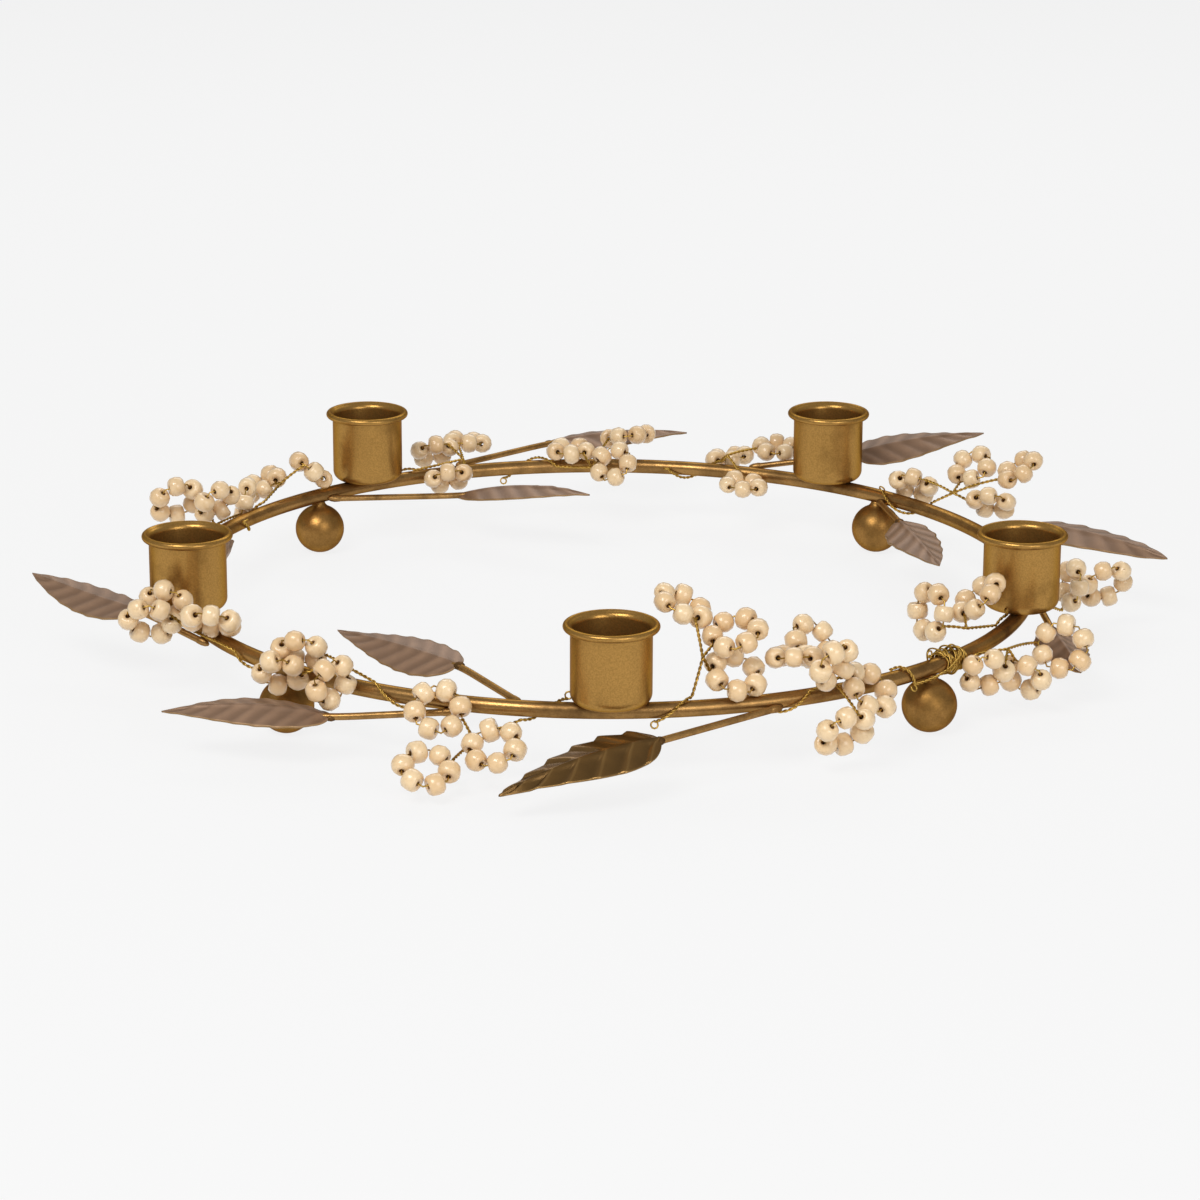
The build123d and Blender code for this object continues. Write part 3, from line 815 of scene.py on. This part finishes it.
class MakeLeaves(bpy.types.Operator):
    """Pressed leaves with a folded midrib, slanting veins and a scalloped rim"""

    bl_idname = "candle_ring.make_leaves"
    bl_label = "Leaves"

    def shape(self, bm, leaf, index):
        """Presses a flat grid into one leaf."""
        base, along, across, upper, length = blade_axes(leaf)
        half = sizes().leaf_width / 2
        fall = math.tan(sizes().leaf_fold)
        crisp = 1.0 if leaf.finish == "bronze" else 0.3
        scallop = 0.05 + 0.06 * leaf.veins
        vein_shade_and_highlight_layer = bm.verts.layers.float.new("vein")
        rim_layer = bm.verts.layers.float.new("rim")
        bmesh.ops.create_grid(bm, x_segments=84, y_segments=24, size=1)
        for vert in bm.verts:
            share = (vert.co.x + 1) / 2
            side = vert.co.y
            spread = abs(side)
            step = vein_step(leaf.pairs * (share - VEIN_SLANT * spread) + 0.2 * index, crisp)
            body = min(1.0, 12 * share) * min(1.0, 7 * (1 - share))
            width = half * blade_width(share) * (1 + scallop * (step - PANEL_LEVEL) * body)
            press = leaf.veins * MM * (step - PANEL_LEVEL) * body * min(1.0, 4 * spread)
            midrib = MIDRIB_HEIGHT * MM * math.exp(-(side * 9) ** 2) * min(1.0, 8 * (1 - share))
            sway = RIM_SWAY * MM * math.sin(5 * share + index) * side * body
            lift = bow(leaf, share) - spread * width * fall + press + midrib + sway
            # This mask is low in the vein grooves and high on the crests; it carries the painted groove
            # shade and the painted crest highlight
            vert[vein_shade_and_highlight_layer] = min(1.0, 0.3 + 0.7 * step)
            vert[rim_layer] = max(0.0, (spread - 0.9) / 0.1) ** 2 * 0.7
            vert.co = base + along * (share * length) + across * (side * width) + upper * lift
        bmesh.ops.remove_doubles(bm, verts=bm.verts, dist=1e-6)
        bmesh.ops.recalc_face_normals(bm, faces=bm.faces)
        bmesh.ops.solidify(bm, geom=bm.faces[:], thickness=sizes().leaf_sheet)

    def execute(self, context):
        # The taupe leaves' colour is their paint with a painted reflection of the pale surroundings on
        # their upward faces
        taupe = leaf_finish(
            "taupe_leaf_with_painted_reflection", colours().leaf, colours().leaf_painted_groove_shade, colours().leaf_rim_gold_and_crest_highlight,
            # rubbed sets the strength of the painted highlight on the vein crests
            metallic=0.35, gloss=0.46, rubbed=0.12)
        bronze = leaf_finish(
            # The bronze leaf's painted groove shade is its own bronze darkened
            "bronze_leaf", colours().bronze, tuple(c * 0.6 for c in colours().bronze),
            # rubbed sets the strength of the painted highlight on the vein crests
            colours().leaf_rim_gold_and_crest_highlight, metallic=0.75, gloss=0.33, rubbed=0.6)
        finishes = {"taupe": taupe, "bronze": bronze}
        for i, leaf in enumerate(LEAVES, 1):
            bm = bmesh.new()
            self.shape(bm, leaf, i)
            name = f"leaf_{i:02d}"
            settle(bm, name, [finishes[leaf.finish]], [f"leaf_blade_{i:02d}"])
        return {"FINISHED"}


class MakeStems(bpy.types.Operator):
    """Leaf stems with their welds on the rod and under the leaves"""

    bl_idname = "candle_ring.make_stems"
    bl_label = "Leaf stems"

    def blob(self, bm, seat, radii, finish):
        """Adds a blob of weld with its three radii in millimetres and the number of its finish."""
        shape = Matrix.Diagonal((*[radius * MM for radius in radii], 1))
        verts = bmesh.ops.create_icosphere(bm, subdivisions=2, radius=1, matrix=seat @ shape)["verts"]
        for face in {face for vert in verts for face in vert.link_faces}:
            face.material_index = finish

    def execute(self, context):
        radius = sizes().stem_diameter / 2
        paint = metallic_paint(
            "satin_stem", colours().rod, colours().rod_shade,
            metallic=0.8, gloss=0.4, patch_scale=120.0, wear=0.46)
        burnt = tuple(c * 0.5 for c in colours().rod_shade)
        weld = metallic_paint(
            "weld", colours().rod_shade, burnt,
            metallic=0.6, gloss=0.5, patch_scale=300.0, wear=0.46)
        for i, leaf in enumerate(LEAVES, 1):
            base, along, across, upper, length = blade_axes(leaf)
            start = off_rod(leaf.root, leaf.lean, sizes().rod_diameter / 2 + radius)
            end = base - upper * (radius * 0.6)
            seat = base + along * (length * 0.07) + upper * (bow(leaf, 0.07) - radius)
            run = (end - start).normalized()
            route = [start - run * 1.5 * MM, start, start.lerp(end, 0.5), end, seat]
            bm = bmesh.new()
            bm.from_mesh(curve_mesh([route], radius, sides=4))
            bmesh.ops.remove_doubles(bm, verts=bm.verts, dist=1e-6)
            lower = run.cross(across).normalized()
            self.blob(bm, seated(start, run, run.cross(lower), lower), ROOT_WELD, 0)
            self.blob(bm, seated(end, along, across, upper), BASE_WELD, 1)
            settle(bm, f"stem_{i:02d}", [paint, weld], [f"leaf_stem_{i:02d}"])
        return {"FINISHED"}


def wooden_bead(fullness, shortening):
    """Bead with flattened ends and its hole along Z, with few faces because there are hundreds."""
    length = shortening * sizes().bead_length / 2
    radius = sizes().bead_diameter / 2
    hole = sizes().hole_radius
    mouth = 0.88 * length
    profile = [(hole, -mouth)]
    for share in (-1.0, -0.66, 0.0, 0.66, 1.0):
        swell = (1 - abs(0.85 * share) ** fullness) ** (1 / fullness)
        profile.append((radius * swell, share * length))
    profile += [(hole, mouth), (hole, -mouth)]
    return turned(profile, steps=12)


def mark_holes(bm):
    """Gives the faces that line the beads' holes, which have the longest edges, the drilled finish."""
    longest = 0.7 * sizes().bead_length
    for face in bm.faces:
        if max(edge.calc_length() for edge in face.edges) > longest:
            face.material_index = 1


class MakeBeads(bpy.types.Operator):
    """Wooden beads of every sprig, each turned a little differently"""

    bl_idname = "candle_ring.make_beads"
    bl_label = "Wooden beads"

    def execute(self, context):
        wood = lacquered_wood()
        hole = drilled_wood()
        beads = [wooden_bead(*shape) for shape in BEAD_SHAPES]
        chance = random.Random(7)
        for number, sprig in enumerate(SPRIGS, 1):
            bm = bmesh.new()
            tone = bm.faces.layers.float.new("tone")
            for loop in sprig.loops:
                centre, side, across, facing = loop_axes(sprig.root, loop)
                radius = loop_radius(loop.beads)
                for i in range(loop.beads):
                    turn = math.radians(loop.phase + 360 * i / loop.beads)
                    outwards = side * math.cos(turn) + across * math.sin(turn)
                    bore = facing.cross(outwards)
                    spin = Matrix.Rotation(chance.uniform(0, math.pi), 4, "Z")
                    width = chance.uniform(*BEAD_WIDTHS)
                    squash = Matrix.Diagonal((width, width * chance.uniform(*BEAD_WIDTHS), 1, 1))
                    lean = Matrix.Rotation(chance.uniform(-BEAD_LEAN, BEAD_LEAN), 4, "X")
                    drift = facing * chance.uniform(-BEAD_DRIFT, BEAD_DRIFT) * MM
                    bead = chance.choice(beads)
                    middle = centre + outwards * radius + drift
                    seat = seated(middle, outwards, bore.cross(outwards), bore)
                    shade = chance.random() ** 1.6
                    for face in place_copy(bm, bead, seat @ lean @ squash @ spin):
                        face[tone] = shade
                        face.material_index = 0
            mark_holes(bm)
            settle(
                bm, f"beads_{number:02d}", [wood, hole], [f"sprig_beads_{number:02d}"])
        return {"FINISHED"}


def wire_eye(station, lean, reach):
    """Points of the small eye that ends a wire beside the rod."""
    middle, outwards, along, up = rod_axes(station)
    turn = math.radians(lean)
    off = outwards * math.cos(turn) + up * math.sin(turn)
    centre = middle + off * (reach + EYE_OFF * MM)
    turns = [math.radians(40 * i) for i in range(9)]
    return [centre + (off * math.cos(t) + along * math.sin(t)) * EYE_RADIUS * MM for t in turns]


class MakeWires(bpy.types.Operator):
    """Brass wires: twisted pairs lashed on the rod and led to the loops, and the beads' strands"""

    bl_idname = "candle_ring.make_wires"
    bl_label = "Brass wires"

    def lashing(self, sprig):
        """Points of a sprig's slanting pass along the rod, from an eye to its root, and the eye."""
        reach = sizes().rod_diameter / 2 + LASHING_OFF * MM
        away = -1 if sum(loop.along for loop in sprig.loops) > 0 else 1
        room = min((away * (cup - sprig.root)) % 360 for cup in CUP_STATIONS) - CUP_KEEP
        run = min(math.degrees(LASHING_RUN * MM / sizes().ring_radius), room)
        turn = LASHING_TURN * run
        spots = []
        for i in range(LASHING_STEPS, -1, -1):
            share = i / LASHING_STEPS
            spots.append((sprig.root + away * run * share, sprig.fork.lean - turn * share))
        eye = wire_eye(*spots[0], reach)
        return [off_rod(*spot, reach) for spot in spots], eye

    def execute(self, context):
        strand = sizes().strand / 2
        pairs = []
        loops = []
        for sprig in SPRIGS:
            fork = sprig_place(sprig.root, *sprig.fork)[1]
            stalk, eye = self.lashing(sprig)
            loops.append(eye)
            pairs += twisted_pair(stalk + [fork], strand * PAIR_SPREAD, sizes().twist_pitch)
            for loop in sprig.loops:
                bends = loop_bends(sprig.root, loop)
                joint = min(bends, key=lambda bend: (bend - fork).length)
                middle = fork.lerp(joint, 0.5) + Vector((0, 0, STALK_RISE)) * (joint - fork).length
                pairs += twisted_pair([fork, middle, joint], strand * PAIR_SPREAD, sizes().twist_pitch)
                loops.append(bends)
        bm = bmesh.new()
        bm.from_mesh(curve_mesh(pairs, strand, kind="POLY", sides=1))
        bm.from_mesh(curve_mesh(loops, strand, kind="POLY", cyclic=True, sides=1))
        settle(bm, "sprig_wires", [bare_brass()], ["brass_wires"])
        return {"FINISHED"}


class MakeTie(bpy.types.Operator):
    """Loose turns of brass that bind the rod beside the front right foot"""

    bl_idname = "candle_ring.make_tie"
    bl_label = "Tie winding"

    def loose_turns(self, chance, start, spread, turns, slack):
        """Points of turns that wander along the rod and stand off it, but lie tight on its outer side."""
        reach = sizes().rod_diameter / 2 + sizes().strand
        points = []
        steps = TURN_POINTS * turns
        for i in range(steps + 1):
            swing = 0.5 - 0.5 * math.cos(TIE_SWING * i / steps)
            station = start + spread * swing + chance.uniform(-TIE_JITTER, TIE_JITTER)
            lean = 360 / TURN_POINTS * i + 60
            loose = 0.5 - 0.5 * math.cos(math.radians(lean))
            off = reach + chance.uniform(0.1, 1.0) ** 2 * slack * MM * loose
            points.append(off_rod(station, lean, off))
        return points

    def execute(self, context):
        chance = random.Random(21)
        strand = sizes().strand / 2
        reach = sizes().rod_diameter / 2
        turns = [self.loose_turns(chance, *winding) for winding in TIE_WINDINGS]
        tails = []
        for spots in (TIE_LEAD, TIE_HOOK):
            points = [off_rod(station, lean, reach + off * MM) for station, lean, off in spots]
            tails += twisted_pair(points, strand * PAIR_SPREAD, sizes().twist_pitch)
        station, lean, off = TIE_EYE
        eye = wire_eye(station, lean, reach + off * MM)
        bm = bmesh.new()
        bm.from_mesh(curve_mesh(turns, strand, sides=1))
        bm.from_mesh(curve_mesh(tails, strand, kind="POLY", sides=1))
        bm.from_mesh(curve_mesh([eye], strand, kind="POLY", cyclic=True, sides=1))
        settle(bm, "tie_winding", [bpy.data.materials["bare_brass"]])
        return {"FINISHED"}


# Stage

class MakeStage(bpy.types.Operator):
    """Pale floor, soft lamps and the camera at the photograph's place"""

    bl_idname = "candle_ring.make_stage"
    bl_label = "Stage"

    def floor(self):
        bm = bmesh.new()
        bmesh.ops.create_grid(bm, x_segments=1, y_segments=1, size=FLOOR_REACH)
        mesh = bpy.data.meshes.new("floor")
        bm.to_mesh(mesh)
        bm.free()
        plane = bpy.data.objects.new("floor", mesh)
        bpy.context.collection.objects.link(plane)
        material, nodes, links, shader, _ = node_material("floor")
        shader.inputs["Base Color"].default_value = (*colours().floor, 1)
        shader.inputs["Roughness"].default_value = 0.9
        glow = nodes.new("ShaderNodeEmission")
        glow.inputs["Color"].default_value = (*colours().floor, 1)
        seen = nodes.new("ShaderNodeLightPath")
        share = nodes.new("ShaderNodeMath")
        share.operation = "MULTIPLY"
        share.inputs[1].default_value = FLOOR_GLOW
        direct = nodes.new("ShaderNodeMath")
        direct.operation = "MAXIMUM"
        links.new(seen.outputs["Is Camera Ray"], direct.inputs[0])
        links.new(seen.outputs["Is Glossy Ray"], direct.inputs[1])
        links.new(direct.outputs[0], share.inputs[0])
        mix = nodes.new("ShaderNodeMixShader")
        links.new(share.outputs[0], mix.inputs[0])
        links.new(shader.outputs["BSDF"], mix.inputs[1])
        links.new(glow.outputs["Emission"], mix.inputs[2])
        links.new(mix.outputs["Shader"], nodes["Material Output"].inputs["Surface"])
        mesh.materials.append(material)

    def sky(self):
        world = bpy.data.worlds.new("studio")
        world.use_nodes = True
        back = world.node_tree.nodes["Background"]
        back.inputs["Color"].default_value = (1, 1, 1, 1)
        back.inputs["Strength"].default_value = SKY_STRENGTH
        bpy.context.scene.world = world

    def lamp(self, name, place, size, watts):
        light = bpy.data.lights.new(name, "AREA")
        light.shape = "RECTANGLE"
        light.size, light.size_y = size
        light.energy = watts
        lamp = bpy.data.objects.new(name, light)
        lamp.location = place
        lamp.rotation_euler = (-Vector(place)).to_track_quat("-Z", "Y").to_euler()
        bpy.context.collection.objects.link(lamp)

    def camera(self):
        place = Vector(CAMERA_PLACE)
        lens = bpy.data.cameras.new("camera")
        lens.sensor_width = CAMERA_SENSOR
        lens.lens = CAMERA_LENS
        camera = bpy.data.objects.new("camera", lens)
        camera.location = place
        level = (Vector(CAMERA_AIM) - place).to_track_quat("-Z", "Y").to_matrix().to_3x3()
        roll = Matrix.Rotation(math.radians(CAMERA_ROLL), 3, "Z")
        camera.rotation_euler = (level @ roll).to_euler()
        bpy.context.collection.objects.link(camera)
        bpy.context.scene.camera = camera

    def execute(self, context):
        self.floor()
        self.sky()
        for name, settings in LAMPS.items():
            self.lamp(name, *settings)
        self.camera()
        context.scene.view_settings.view_transform = "Standard"
        return {"FINISHED"}


class CandleRingPanel(bpy.types.Panel):
    """Pieces of the candle ring"""

    bl_idname = "VIEW3D_PT_candle_ring"
    bl_label = "Candle ring"
    bl_space_type = "VIEW_3D"
    bl_region_type = "UI"
    bl_category = "Candle ring"

    def draw(self, context):
        for operator in PIECES:
            self.layout.operator(operator.bl_idname)
        for group in (sizes(), colours()):
            for name in group.__annotations__:
                self.layout.prop(group, name)


PIECES = (
    MakeRod, MakeCups, MakeFeet, MakeLeaves, MakeStems, MakeBeads, MakeWires, MakeTie, MakeStage)
CLASSES = (RingSizes, RingColours, *PIECES, CandleRingPanel)


def register():
    for part in CLASSES:
        bpy.utils.register_class(part)
    bpy.types.Scene.candle_ring_sizes = PointerProperty(type=RingSizes)
    bpy.types.Scene.candle_ring_colours = PointerProperty(type=RingColours)


def unregister():
    del bpy.types.Scene.candle_ring_colours
    del bpy.types.Scene.candle_ring_sizes
    for part in reversed(CLASSES):
        bpy.utils.unregister_class(part)


def main():
    register()
    bpy.ops.candle_ring.make_rod()
    bpy.ops.candle_ring.make_cups()
    bpy.ops.candle_ring.make_feet()
    bpy.ops.candle_ring.make_leaves()
    bpy.ops.candle_ring.make_stems()
    bpy.ops.candle_ring.make_beads()
    bpy.ops.candle_ring.make_wires()
    bpy.ops.candle_ring.make_tie()
    bpy.ops.candle_ring.make_stage()


if __name__ == "__main__":
    main()
